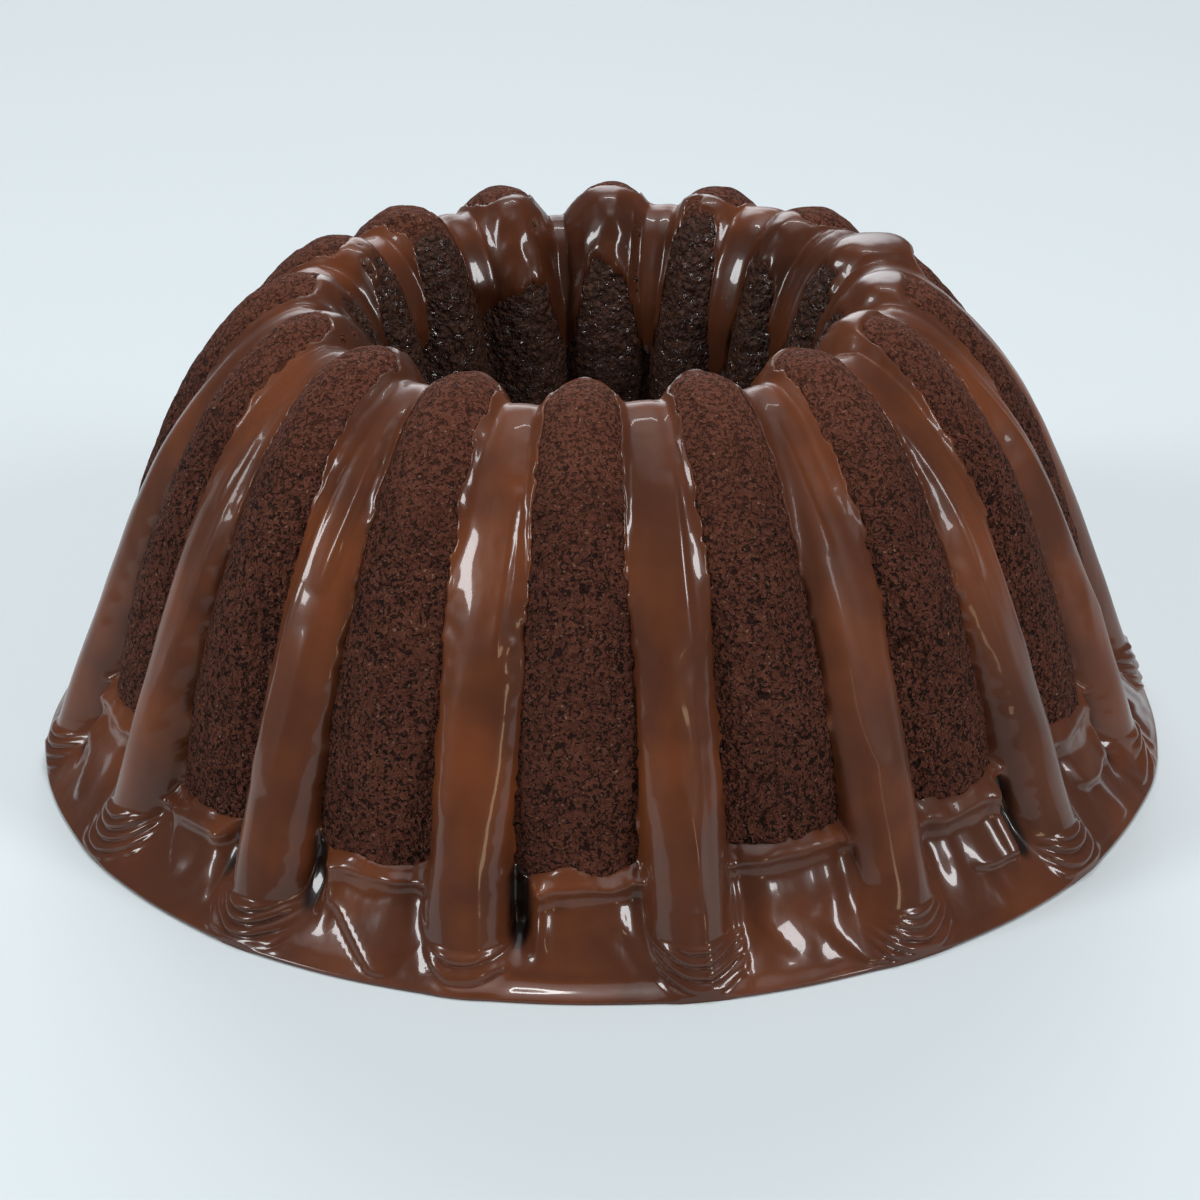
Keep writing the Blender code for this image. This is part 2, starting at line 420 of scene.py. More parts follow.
crumb_lift = smooth_step(0.5, 5.0, crumb_grid.height)
relief, pit_depth = crumb_relief(crumb_grid.points)
crumb_toe = TOE_ROUNDING * 0.4 * np.maximum(1 - crumb_grid.height / TOE_HEIGHT, 0) ** 2
crumb_offset = flute(crumb_grid) + swell(crumb_grid) + relief * crumb_lift - crumb_toe
crumb_points = crumb_grid.at(crumb_offset)
crumb_points[..., 2] = soft_ceiling(crumb_points[..., 2], HEIGHT - CRUMB_UNDER, 2.0)
wet_edge = 9.0 + 2.5 * hills(crumb_grid.points, 7.0, 51)
wet = smooth_step(wet_edge - 3.0, wet_edge + 3.0, crumb_grid.past)
closing = base_ring(crumb_points, BASE_ROWS)
crumb_points = np.concatenate((crumb_points, closing))
padding = np.zeros(closing.shape[:2])
crumb = ring_skin("crumb_ring", crumb_points, {
    "wet": np.concatenate((wet, padding)),
    "pit": np.concatenate((pit_depth, padding)),
})

# %% [markdown]
# ## The poured glaze
# The glaze could be a fluid simulation, but a pour over sixteen ribs would need luck to freeze
# in the right shape. Here it is a height over the outline instead: streams that fill the
# valleys, aprons that slumped over the foot of each rib, a skirt that slopes to a thin rim on
# the plate, and a collar round the mouth of the hole. Streams and aprons differ from one to the
# next, as in the picture. Lengths are millimetres, one number for each rib or stream.

# %% Streams and aprons, one size for each
STREAM_REACH = (15.6, 14.0, 13.8, 12.6, 15.8, 13.4, 14.6, 15.2,
                15.4, 13.2, 14.4, 17.4, 14.4, 12.2, 14.2, 13.0)
STREAM_DIP = (4.8, 5.0, 5.2, 3.4, 2.6, 3.0, 3.2, 5.4,
              8.6, 5.0, 5.2, 4.4, 4.0, 4.6, 5.0, 5.6)
APRON_TOP = (21.0, 24.5, 23.0, 24.0, 18.0, 20.0, 22.0, 21.0,
             24.0, 22.0, 19.0, 20.0, 24.0, 24.0, 17.5, 19.5)
COLLAR_DEPTH = (12.0, 10.0, 9.0, 11.0, 14.0, 12.0, 20.0, 10.0,
                21.0, 27.0, 2.0, 9.0, 12.0, 10.0, 11.0, 12.0)
RUN_DEPTH = (30.0, 27.0, 33.0, 29.0, 25.0, 34.0, 42.0, 38.0,
             32.0, 22.0, 27.0, 33.0, 26.0, 30.0, 34.0, 28.0)
STREAM_SHARE = 0.8
STREAM_LIMIT = 11.7
STREAM_POWER = 1.75
SHOULDER_LIFT = 1.9
POOL_REACH = 11.2
POOL_LEVEL = 0.8
POOL_SKIRT = 1.25
FLAT_FRONT = 4.8
APRON_REACH = 10.4
APRON_FILM = 0.9
APRON_POWER = 2.2
FILM = 0.45
# Offsets under the crumb: where a stream ends in the hole, a form that isn't there, the back.
THIN_OUT = 16.0
OUT_OF_THE_WAY = 30.0
BURIED = 20.0


def bump(value, middle, width):
    """A soft bump, 1 at its middle."""
    return np.exp(-((value - middle) / width) ** 2)


def stream_middle(grid):
    """The offset of a stream along its middle, from the crest to the toe that ends at the rim."""
    fall = np.maximum(1 - grid.rise, 0.0)
    dip = np.take(STREAM_DIP, grid.stream)
    reach = np.minimum(STREAM_SHARE * np.take(STREAM_REACH, grid.stream), STREAM_LIMIT)
    outer = blend(-dip, reach, fall ** STREAM_POWER)
    outer = outer + SHOULDER_LIFT * bump(grid.height, 70.0, 22.0)
    depth = np.take(RUN_DEPTH, grid.stream)
    run = smooth_step(depth - 9, depth + 4, HEIGHT - grid.height)
    return np.where(grid.inside, blend(-dip, -THIN_OUT, run), outer)


def apron_middle(grid, top):
    """The offset over the foot of a rib: a roll under the crumb, a hollow, then a flare to the pool."""
    slump = np.maximum(1 - grid.height / top, 0.0) ** APRON_POWER
    below = top - grid.height + 1.2 * hills(grid.points, 9.0, 81)
    roll = 0.8 * bump(below, 2.2, 1.6) - 1.1 * bump(below, 6.2, 2.6)
    apron = blend(APRON_FILM, APRON_REACH, slump) + roll
    return np.where(~grid.inside & (grid.height < top + 3.0), apron, -OUT_OF_THE_WAY)


def pool(grid):
    """The skirt of glaze that slopes to a round rim on the plate, and lies flat only in front."""
    tongue = np.cos(math.pi * (grid.turns - np.floor(grid.turns) - 0.5)) ** 4
    reach = POOL_REACH + 0.5 * hills(grid.points * (1, 1, 0), 26.0, 82) + 0.5 * tongue
    flat = FLAT_FRONT * bump(grid.turns, 0.0, 0.42) + 0.8 * hills(grid.points * (1, 1, 0), 18.0, 89)
    over_rim = np.maximum(grid.height - POOL_LEVEL, 0.0)
    back = POOL_SKIRT * over_rim ** 0.92 + flat * smooth_step(0.4, 2.4, over_rim)
    under = np.maximum(1 - grid.height / POOL_LEVEL, 0.0) ** 2
    return np.where(grid.inside, -OUT_OF_THE_WAY, reach - np.minimum(back, 40.0) - under)


# %% [markdown]
# ## Where the glaze ends
# A poured film ends in a round, ragged lip. To shape that lip the script works out one number
# for every point: how far it lies inside the edge of the glaze, in millimetres, with a minus
# sign on bare crumb. The lip, the drop behind it and the fade of every ripple all use it.

# %% The bare windows on the ribs
# Height in millimetres, then half the width in ribs.
WINDOW_HALF_WIDTH = ((12.0, 0.29), (22.0, 0.30), (53.0, 0.29),
                     (71.0, 0.275), (88.0, 0.27), (98.0, 0.275))
# How far past the crest the bare crumb of each rib ends.
WRAP_OVER_CREST = (6.0, 6.0, 5.0, 0.0, -2.0, -10.0, 2.0, 3.0,
                   1.0, 3.0, 6.0, 3.0, 2.0, 2.0, 5.0, 6.0)


def window_half(grid):
    """Half the width of the bare window on a rib, in ribs, with the wander of its edges."""
    steps, halves = zip(*WINDOW_HALF_WIDTH)
    return np.interp(grid.height, steps, halves) + 0.014 * strands(grid, 2.0, 26.0, 61)


def cover(grid, half):
    """Distance in millimetres inside the edge of the glaze, less than 0 on bare crumb."""
    ragged = 0.35 * hills(grid.points, 4.0, 62) + 0.65 * hills(grid.points, 1.7, 63)
    aside = (np.abs(grid.place) - half) * PITCH * grid.radius + ragged
    below = np.take(APRON_TOP, grid.rib) + 1.3 * hills(grid.points, 7.0, 64) + ragged - grid.height
    over = grid.past - np.take(WRAP_OVER_CREST, grid.rib) + 1.2 * hills(grid.points, 6.0, 65)
    window = soft_max(aside, np.where(grid.inside, -50.0, below), 2.0)
    window = soft_max(window, over, 4.0)
    valley = smooth_step(0.16, 0.44, np.abs(grid.place))
    end = blend(np.take(COLLAR_DEPTH, grid.rib), np.take(RUN_DEPTH, grid.stream), valley)
    end = end + 3.0 * strands(grid, 3.0, 60.0, 66) + 4.0 * hills(grid.points, 8.0, 67)
    end = end + 3.2 * hills(grid.points, 3.2, 83) + 1.6 * hills(grid.points, 1.6, 84) - grid.past
    return -soft_max(-window, -end, 2.0)


# %% The height of the glaze over the outline
RIBBON_POWER = (3.0, 2.6)
RIBBON_SHOULDER = (0.80, 0.62)
LOBE_HEIGHT = 14.0
LOBE_SPREAD = (0.05, 0.15, 0.06, 0.02, 0.08, 0.0, 0.10, 0.04,
               0.12, 0.02, 0.07, 0.0, 0.06, 0.05, -0.03, 0.02)
LOBE_LEAN = (0.02, -0.03, 0.0, 0.03, -0.02, 0.02, 0.0, -0.03,
             0.03, 0.0, -0.02, 0.02, 0.0, -0.02, 0.0, 0.02)
# The deep hollows: the rib and its side (-1 or 1), then the depth.
POCKET_DEPTH = {
    (0, -1): 7.0, (15, -1): 5.0, (2, 1): 7.5,
    (14, 1): 4.0, (13, -1): 6.0, (3, 1): 5.0,
    (6, -1): 5.0, (8, 1): 6.0, (10, -1): 4.0,
}
SHALLOW_POCKET = 1.0


def ribbon(grid, half, level):
    """A stream that is low and soft on the wall, then thick with steep sides and a lobe at its foot."""
    low = 1 - smooth_step(12.0, 75.0, grid.height)
    spread = np.maximum(1 - grid.height / LOBE_HEIGHT, 0.0) ** 1.5
    from_middle = grid.turns - np.floor(grid.turns) - 0.5 - np.take(LOBE_LEAN, grid.stream) * spread
    width = 0.5 - half + np.take(LOBE_SPREAD, grid.stream) * spread
    aside = np.clip(np.abs(from_middle) / width, 0.0, 1.0)
    hump = (1 - aside ** blend(*RIBBON_POWER, low)) ** blend(*RIBBON_SHOULDER, low)
    return np.where(aside < 1, blend(level, stream_middle(grid), hump), level)


def pockets(grid, half):
    """Hollows in the aprons, close beside the streams, some of them deep: their depth in millimetres."""
    side = np.sign(grid.place)
    depth = np.full(grid.place.shape, SHALLOW_POCKET)
    for (rib, hand), deep in POCKET_DEPTH.items():
        depth[(grid.rib == rib) & (side == hand)] = deep
    away = (np.abs(grid.place) - half + 0.035) * PITCH * grid.radius
    beside = bump(away, 0.0, 2.2)
    raised = 0.32 * bump(away, -4.2, 1.5)
    tall = smooth_step(4.0, 11.0, grid.height) * (1 - smooth_step(19.0, 24.0, grid.height))
    return depth * (beside - raised) * tall


BAND_THICKNESS = 1.7


def band(grid):
    """The thick smooth band of glaze that lies over the shoulder of the ribs on the right."""
    round_it = smooth_step(2.5, 3.0, grid.turns) * (1 - smooth_step(5.2, 5.8, grid.turns))
    return round_it * smooth_step(-36.0, -24.0, grid.past) * (1 - smooth_step(2.0, 10.0, grid.past))


def glaze_offset(grid):
    """The offset of the glaze's surface, how far inside its edge each point lies, and its hollows."""
    crumb_level = flute(grid) + swell(grid)
    half = window_half(grid)
    edge = cover(grid, half)
    thick = FILM * (1 + 0.7 * hills(grid.points, 3.0, 68)) + BAND_THICKNESS * band(grid)
    lip = thick * np.sqrt(1 - (1 - np.clip(edge / thick, 0.0, 1.0)) ** 2)
    grainy = 0.20 * hills(grid.points * (1, 1, 0.6), 2.6, 85) + 0.12 * hills(grid.points, 1.4, 86)
    soaked_in = 1 + 1.5 * smooth_step(4.0, 12.0, grid.past)
    film = crumb_level + lip + grainy * soaked_in * smooth_step(0.3, 1.5, edge)
    hollow = pockets(grid, half)
    apron = np.maximum(apron_middle(grid, np.take(APRON_TOP, grid.rib)) - hollow, crumb_level - 1.0)
    skin = soft_max(film, blend(film, apron, smooth_step(0.0, 2.5, edge)), 0.8)
    skin = skin - np.maximum(skin - apron, 0.0) * smooth_step(0.2, 1.6, hollow)
    stream = ribbon(grid, half, film)
    fillet = blend(0.5, 2.6, 1 - smooth_step(6.0, 16.0, grid.height))
    covered = soft_max(skin, stream, fillet)
    covered = soft_max(covered, pool(grid), 4.0)
    bare = crumb_level - 2.6 * smooth_step(0.0, 1.0, -edge)
    return np.where(edge > 0, covered, bare), edge, smooth_step(1.5, 4.0, hollow)


# %% [markdown]
# ## Ripples and folds
# Thick glaze keeps the marks of its flow. Long ridges and a few creases run down each stream.
# Where a stream slows on the plate it piles up in bowed pleats, and the aprons beside it drape
# in slanting folds. Sculpting them by hand would also work, but a table of folds can be read
# and changed. Each fold is a bowed line from one point to another, steep on one side and
# fading away on the other.

# %% One fold
def fold(grid, middle, start, end, height, back, bow=0.0):
    """A fold between two points (across, up) in millimetres, raised on the left of its way."""
    across = (grid.turns - middle + RIBS / 2) % RIBS - RIBS / 2
    across = across * PITCH * FOOT_RADIUS
    way = np.array(end, float) - np.array(start, float)
    length = np.hypot(*way)
    way = way / length
    along = ((across - start[0]) * way[0] + (grid.height - start[1]) * way[1]) / length
    side = (grid.height - start[1]) * way[0] - (across - start[0]) * way[1]
    side = side + bow * (1 - (2 * along - 1) ** 2)
    kept = np.clip(1 - np.abs(2 * along - 1) ** 4, 0.0, 1.0)
    return height * kept * smooth_step(-1.3, 1.3, side) * np.exp(-np.maximum(side, 0.0) / back)


# %% The drapes that show in front
# Each row gives the rib, where the fold starts and ends, its height, its fade and its bow.
FRONT_FOLDS = (
    (0, (-14, 4.6), (9, 4.2), 1.0, 3.0, 0.4),
    (0, (2, 12), (10, 3), 1.0, 2.5, 0.0),
    (0, (6, 15), (14, 3), 1.2, 2.5, 0.0),
    (-1, (-9.5, 15), (9, 0.5), 2.0, 8.0, 0.8),
    (-1, (11, 5), (9, 14), 0.8, 1.8, 0.0),
    (-2, (6, 4), (5, 14), 0.9, 1.6, 0.0),
    (-2, (10, 4), (8.5, 13), 1.0, 1.6, 0.0),
    (-2, (-10, 16), (0, 5), 1.4, 6.0, 0.5),
    (-3, (-8, 17), (2, 3), 2.0, 4.0, 0.8),
    (1, (3, 10), (14, -1), 1.6, 5.0, 1.0),
    (1, (8, 2), (-8, -1), 1.2, 3.0, 0.0),
    (1, (-9, 12), (-2, 4), 0.9, 3.0, 0.0),
    (2, (-4, 10), (12, 13), 2.4, 6.0, 2.5),
    (2, (1, 2), (-1, 9), 1.2, 1.6, 0.0),
    (2, (5, 3), (3, 9), 0.9, 1.4, 0.0),
    (3, (-9, 12), (7, 12), 2.4, 5.0, 2.0),
    (3, (2, 2), (-1, 10), 1.2, 2.0, 0.0),
    (4, (-8, 8), (8, 3), 1.4, 4.0, 0.5),
    (-4, (-8, 5), (8, 9), 1.4, 4.0, 0.5),
)


# Creases down the streams, written the same way but from the middle of a stream.
STREAM_CREASES = (
    (-0.5, (3.4, 56), (5.8, 92), 1.1, 1.6, 0.5),
    (0.5, (4.5, 60), (5.2, 94), 1.2, 2.5, -0.5),
    (0.5, (1.5, 16), (3.5, 58), 0.8, 4.0, 0.8),
    (1.5, (-1.0, 74), (-2.5, 100), 1.1, 3.0, 0.0),
    (-1.5, (3.0, 66), (5.5, 95), 1.6, 3.5, 0.5),
    (-1.5, (1.0, 28), (3.0, 60), 0.9, 3.0, 0.0),
    (-2.5, (2.5, 72), (4.5, 97), 1.2, 3.0, 0.0),
    (2.5, (-2.0, 60), (-4.0, 96), 1.2, 4.0, 0.6),
    (3.5, (-1.0, 50), (-3.0, 92), 1.0, 3.0, 0.0),
)


# %% All the folds
FOLD_SEED = 5
FOLD_BOW = 11.0


def crescents(grid, middle, shift, top, reach, tall, height, tilt):
    """Folds stacked like bowed pleats on the toe of the stream at this middle, with creases between."""
    across = (grid.turns - middle + RIBS / 2) % RIBS - RIBS / 2
    across = across * PITCH * FOOT_RADIUS - shift
    down = top - grid.height + tilt * across + across ** 2 / (2 * FOLD_BOW)
    turn = down / tall + 0.3 * hills(grid.points, 7.0, 87)
    pleat = 1 - (2 * (turn - np.floor(turn)) - 1) ** 2
    kept = (1 - smooth_step(0.6, 1.0, np.abs(across) / reach)) * smooth_step(0.0, 1.5, top - grid.height)
    return height * pleat * kept * smooth_step(-0.55, 0.1, hills(grid.points, 8.0, 90))


def foot_folds(grid):
    """Stacked folds on the toes, slanting drapes on the aprons, and creases down the streams."""
    chance = np.random.default_rng(FOLD_SEED)
    total = np.zeros_like(grid.height)
    for middle, start, end, height, back, bow in FRONT_FOLDS + STREAM_CREASES:
        total += fold(grid, middle, start, end, height, back, bow)
    for rib in range(RIBS):
        total += crescents(grid, rib + 0.5, chance.uniform(-2.5, 2.5), chance.uniform(8.0, 11.5),
                           chance.uniform(8.0, 11.0), chance.uniform(2.1, 3.1),
                           chance.uniform(0.9, 1.4), chance.uniform(-0.3, 0.3))
        for side in (-1, 1):
            start = side * chance.uniform(3.0, 6.0)
            high = chance.uniform(9.0, 14.0)
            end = start + side * chance.uniform(3.0, 8.0)
            height, back = chance.uniform(0.5, 1.2), chance.uniform(2.0, 4.0)
            if 4 <= rib <= 12:
                total += fold(grid, rib, (start, high), (end, 2.0), height, back)
    return total


# %% Ripples down the streams and waves in the pool
def flow_marks(grid, edge):
    """Relief of the flowing glaze in millimetres."""
    well_inside = smooth_step(0.5, 4.0, edge)
    ridges = 0.42 * strands(grid, 5.0, 38.0, 71) + 0.20 * strands(grid, 9.0, 30.0, 72)
    sharp = (1 - np.abs(strands(grid, 6.0, 70.0, 79))) ** 5 - 0.25
    ridges = ridges + 0.75 * sharp * smooth_step(-0.2, 0.3, strands(grid, 2.0, 60.0, 80))
    on_stream = smooth_step(0.22, 0.32, np.abs(grid.place))
    ridges = ridges * np.where(grid.inside, 0.45, blend(0.4, 1.0, on_stream))
    waves = 0.35 * hills(grid.points, 15.0, 73) + 0.11 * hills(grid.points * (1, 1, 0.5), 4.5, 88)
    settled = smooth_step(0.8, 2.6, grid.height)
    return (ridges + waves + foot_folds(grid)) * settled * well_inside


# %% How dull each stream is
RIM_DULL = 0.75
STREAM_DULL = (0.0, 0.9, 0.45, 0.7, 0.5, 0.3, 0.2, 0.2, 0.2, 0.2, 0.3, 0.2, 0.35, 0.6, 0.1, 0.0)


def dullness(grid):
    """0 where the glaze is wet and glossy, 1 where it set to a dull skin."""
    past_stream = grid.turns - 0.5
    before = np.floor(past_stream)
    share = smooth_step(0.35, 0.65, past_stream - before)
    here = np.take(STREAM_DULL, before.astype(int) % RIBS)
    beyond = np.take(STREAM_DULL, (before.astype(int) + 1) % RIBS)
    stream_share = blend(here, beyond, share) * smooth_step(12.0, 26.0, grid.height)
    outside = 1 - smooth_step(-4, 8, grid.past)
    rim = RIM_DULL * bump(grid.past, -7.0, 12.0)
    return soft_max(stream_share * outside, rim, 0.1)


# %% Build the glaze
def glaze_closeness(path):
    """Very fine rows in the pool, fine rows on the toes, even rows over the rest."""
    wall = 1.0 - 0.35 * smooth_step(0.0, 12.0, path - CREST_PATH)
    return wall + 1.9 * (1 - smooth_step(15, 24, path)) + 3.0 * (1 - smooth_step(2.8, 4.0, path))


def glaze_columns(place):
    """Fine columns along the lips beside each rib."""
    beside = np.abs(np.abs(place) - 0.285)
    return 0.45 + 0.8 * (1 - smooth_step(0.05, 0.09, beside)) + 0.3 * (np.abs(place) > 0.3)


GLAZE_ROWS = 212
GLAZE_COLUMNS = 60
BACK_ROWS = 9
INSIDE_RUN = 44.0
INNER_SHADE = 0.45
# The glaze is cut back where it would pass the nearest side of the box of the solids.
REACH_LIMIT = min(SOLID_BOX[1].x, SOLID_BOX[1].y, -SOLID_BOX[0].x, -SOLID_BOX[0].y) / MM
glaze_paths = spaced(0, CREST_PATH + INSIDE_RUN, GLAZE_ROWS, glaze_closeness)
glaze_grid = RingGrid(glaze_paths, GLAZE_COLUMNS, glaze_columns)
surface, inside_edge, hollow = glaze_offset(glaze_grid)
surface = surface + flow_marks(glaze_grid, inside_edge)
surface = np.minimum(surface, REACH_LIMIT - glaze_grid.radius)
glaze_points = glaze_grid.at(surface)
glaze_points[..., 2] = soft_ceiling(glaze_points[..., 2], HEIGHT, 3.0)
back_paths = np.linspace(CREST_PATH + INSIDE_RUN, 0, BACK_ROWS)
back_grid = RingGrid(back_paths, GLAZE_COLUMNS, glaze_columns)
back_points = back_grid.at(np.full(back_grid.radius.shape, -BURIED))
glaze_points = np.concatenate((glaze_points, back_points))
hollow = np.maximum(hollow, INNER_SHADE * smooth_step(2.0, 16.0, glaze_grid.past))
behind = np.zeros(back_points.shape[:2])
glaze = ring_skin("poured_glaze", glaze_points, {
    "hollow": np.concatenate((hollow, behind)),
    "dull": np.concatenate((dullness(glaze_grid), behind)),
})

# %% Fit both foods to the solids
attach(crumb, "root")
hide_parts("cake")
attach(glaze, "root")
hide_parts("glaze")


# %% [markdown]
# ## Finishes written as sums
# Blender's finishes are webs of nodes, which are slow to read. The small class below wraps one
# socket, so that sums on it can be written as Python: each sum adds its own Math node.

# %% Sockets that take part in sums
class Level:
    """One value of a finish, with Python's operators on it."""

    def __init__(self, finish, socket):
        self.finish = finish
        self.socket = socket

    def sum(self, operation, *values):
        """A Math node on these values."""
        sockets = {place: value for place, value in enumerate(values)}
        return self.finish.node("ShaderNodeMath", {"operation": operation}, sockets)

    def __add__(self, other):
        return self.sum("ADD", self, other)

    def __radd__(self, other):
        return self.sum("ADD", other, self)

    def __sub__(self, other):
        return self.sum("SUBTRACT", self, other)

    def __rsub__(self, other):
        return self.sum("SUBTRACT", other, self)

    def __mul__(self, other):
        return self.sum("MULTIPLY", self, other)

    def __rmul__(self, other):
        return self.sum("MULTIPLY", other, self)

    def between(self, start, end):
        """0 at start, 1 at end and a soft step between them."""
        return self.finish.node("ShaderNodeMapRange", {"interpolation_type": "SMOOTHSTEP"},
                                {"Value": self, "From Min": start, "From Max": end})


class Web:
    """A web of nodes that are made one by one."""

    def __init__(self, tree):
        self.tree = tree

    def node(self, kind, settings, sockets, result=0):
        """One node: its settings first, then its sockets, and the result that is wanted."""
        made = self.tree.nodes.new(kind)
        for setting, value in settings.items():
            setattr(made, setting, value)
        for socket, value in sockets.items():
            self.feed(made.inputs[socket], value)
        return Level(self, made.outputs[result])

    def feed(self, socket, value):
        """A link from a level, or else a plain value."""
        if isinstance(value, Level):
            self.tree.links.new(value.socket, socket)
        else:
            socket.default_value = value

    def mix(self, share, first, second):
        """A colour this share of the way from the first to the second."""
        sockets = {"Factor": share, 6: first, 7: second}
        return self.node("ShaderNodeMix", {"data_type": "RGBA"}, sockets, 2)


class Finish(Web):
    """A material: a web of nodes round a shader."""

    def __init__(self, name, **plain):
        self.material = bpy.data.materials.new(name)
        self.material.use_nodes = True
        super().__init__(self.material.node_tree)
        self.shader = self.tree.nodes["Principled BSDF"]
        self.surface = Level(self, self.shader.outputs[0])
        self.set(self.shader, **plain)

    def set(self, shader, **sockets):
        """Feed the sockets of a shader, with their names written with underscores."""
        for socket, value in sockets.items():
            self.feed(shader.inputs[socket.replace("_", " ")], value)

    def bump(self, height, distance, strength=1.0):
        """Normals that follow this height, as relief this many metres deep."""
        sockets = {"Height": height, "Distance": distance, "Strength": strength}
        return self.node("ShaderNodeBump", {}, sockets)

    def over(self, share, **sockets):
        """Another shader on top, which shows where this share is 1."""
        named = {socket.replace("_", " "): value for socket, value in sockets.items()}
        upper = self.node("ShaderNodeBsdfPrincipled", {}, named)
        layers = {"Fac": share, 1: self.surface, 2: upper}
        self.surface = self.node("ShaderNodeMixShader", {}, layers)
        self.feed(self.tree.nodes["Material Output"].inputs["Surface"], self.surface)

    def wear(self, piece):
        """Put the finish on a piece."""
        piece.data.materials.append(self.material)


# %% [markdown]
# ## Chocolate crumb
# Dry crumb is a dull red-brown, broken by short crooked pores. They are
# smaller than the mesh can hold, so the finish draws them: the level lines of one noise, broken
# up by a second noise, look more like torn crumb than round dots do. Some round pores lie between
# them. The pores and pits get a little bump and are painted nearly black, as painted shade in the
# holes. A paler band round the strokes is a painted highlight on their rims, and sparse pale flecks
# are painted glints.

# %% The noises of the crumb
CRUMB_BROWN = (0.086, 0.0270, 0.0165, 1)
CRUMB_LIGHT = (0.138, 0.045, 0.027, 1)
CRUMB_PORE_SHADE = (0.014, 0.0055, 0.004, 1)
CRUMB_RIM_HIGHLIGHT = (0.190, 0.072, 0.044, 1)
CRUMB_GLINT = (0.34, 0.17, 0.11, 1)
CRUMB_TIP = (0.168, 0.058, 0.035, 1)
BEND_REACH = 0.0016

crumb_finish = Finish("chocolate crumb", Specular_IOR_Level=0.12)
spot = crumb_finish.node("ShaderNodeTexCoord", {}, {}, "Object")
pit = crumb_finish.node("ShaderNodeAttribute", {"attribute_name": "pit"}, {}, "Fac")
soaked_and_shaded = crumb_finish.node("ShaderNodeAttribute", {"attribute_name": "wet"}, {}, "Fac")


def crumb_noise(scale, detail, place=spot):
    """Soft noise on the crumb, this many hills to a metre."""
    return crumb_finish.node("ShaderNodeTexNoise", {}, {"Vector": place, "Scale": scale, "Detail": detail})


bend = crumb_finish.node("ShaderNodeTexNoise", {}, {"Vector": spot, "Scale": 800.0, "Detail": 1.0}, "Color")
bent = crumb_finish.node("ShaderNodeVectorMath", {"operation": "MULTIPLY_ADD"},
                         {0: bend, 1: (BEND_REACH,) * 3, 2: spot})


# %% Pores, strokes and flecks
def pores(scale, narrow, wide):
    """Crooked pores, one to a cell, each with its own width."""
    sockets = {"Vector": bent, "Scale": scale}
    away = crumb_finish.node("ShaderNodeTexVoronoi", {}, sockets, "Distance")
    chance = crumb_finish.node("ShaderNodeTexVoronoi", {}, sockets, "Color")
    red = crumb_finish.node("ShaderNodeSeparateColor", {}, {"Color": chance}, "Red")
    width = red * (wide - narrow) + narrow
    return (width - away).between(0.0, 0.12)


def strokes(scale, width):
    """Short crooked strokes: the level lines of one noise, broken up by another."""
    from_line = crumb_noise(scale, 1.0, bent) - 0.5
    away = crumb_finish.node("ShaderNodeMath", {"operation": "ABSOLUTE"}, {0: from_line})
    breaks = crumb_noise(scale * 1.7, 0.0).between(0.48, 0.55)
    return away.between(width, width * 0.35) * breaks


def most(first, second):
    """The larger of two levels."""
    return crumb_finish.node("ShaderNodeMath", {"operation": "MAXIMUM"}, {0: first, 1: second})


# %% The finish of the crumb
# Painted shade: the strokes and pores mark where the crumb is painted nearly black, as shade in its holes;
# they also sink its bump.
torn = most(strokes(680.0, 0.078), most(pores(420.0, -0.30, 0.38), pores(820.0, -0.05, 0.40) * 0.85))
# Painted highlight: a paler band round each stroke stands for the lit ridges round the pores.
pore_rim_highlights = strokes(680.0, 0.18)
# Painted glints: sparse flecks are painted pale where the crumb glints, and are also made smoother.
glint_flecks = pores(1200.0, -0.40, 0.42)
height = crumb_finish.node("ShaderNodeSeparateXYZ", {}, {"Vector": spot}, "Z")
grains = crumb_noise(900.0, 3.0)
mottle = (crumb_noise(90.0, 2.0) * 0.4 + grains * 0.6).between(0.36, 0.66)
tone = crumb_finish.mix(mottle, CRUMB_BROWN, CRUMB_LIGHT)
tone = crumb_finish.mix(height.between(0.080, 0.104) * 0.6, tone, CRUMB_TIP)
# Painted shade: the deeper a point lies in a pit, the nearer black the crumb is painted.
tone = crumb_finish.mix(pit.between(0.1, 0.8) * 0.8, tone, CRUMB_PORE_SHADE)
smoother = 1.0 - height.between(0.070, 0.104) * 0.45
tone = crumb_finish.mix(pore_rim_highlights * 0.5, tone, CRUMB_RIM_HIGHLIGHT)
tone = crumb_finish.mix(torn * smoother * 0.92, tone, CRUMB_PORE_SHADE)
tone = crumb_finish.mix(glint_flecks * 0.6, tone, CRUMB_GLINT)
crumb_height = (crumb_noise(560.0, 2.0) * 1.5 + grains * 0.5 - torn * 1.1) * smoother + glint_flecks * 0.4
crumb_normal = crumb_finish.bump(crumb_height, 0.0030)
crumb_finish.set(crumb_finish.shader, Base_Color=tone, Roughness=0.88 - glint_flecks * 0.4, Normal=crumb_normal)

# %% [markdown]
# ## Wet crumb
# Inside the hole the crumb drank glaze. It is painted almost black there, partly for the soaked
# crumb and partly as painted shade in the hole, and small drops of it glint.
# One shader can't do both, because how much a surface reflects has to be one number for a whole
# shader. So a wet shader lies over the dry one, and a third, for the drops alone, over that.

# %% The finish of the wet crumb
SOAKED_SHADED_BROWN = (0.036, 0.014, 0.0085, 1)
SOAKED_SHADED_PALE = (0.088, 0.036, 0.021, 1)

wet_height = crumb_noise(330.0, 2.0) * 1.2 + crumb_noise(700.0, 2.0) * 0.9 - torn * 0.35
drops = pores(640.0, -0.10, 0.58)
wet_normal = crumb_finish.bump(wet_height, 0.0017)
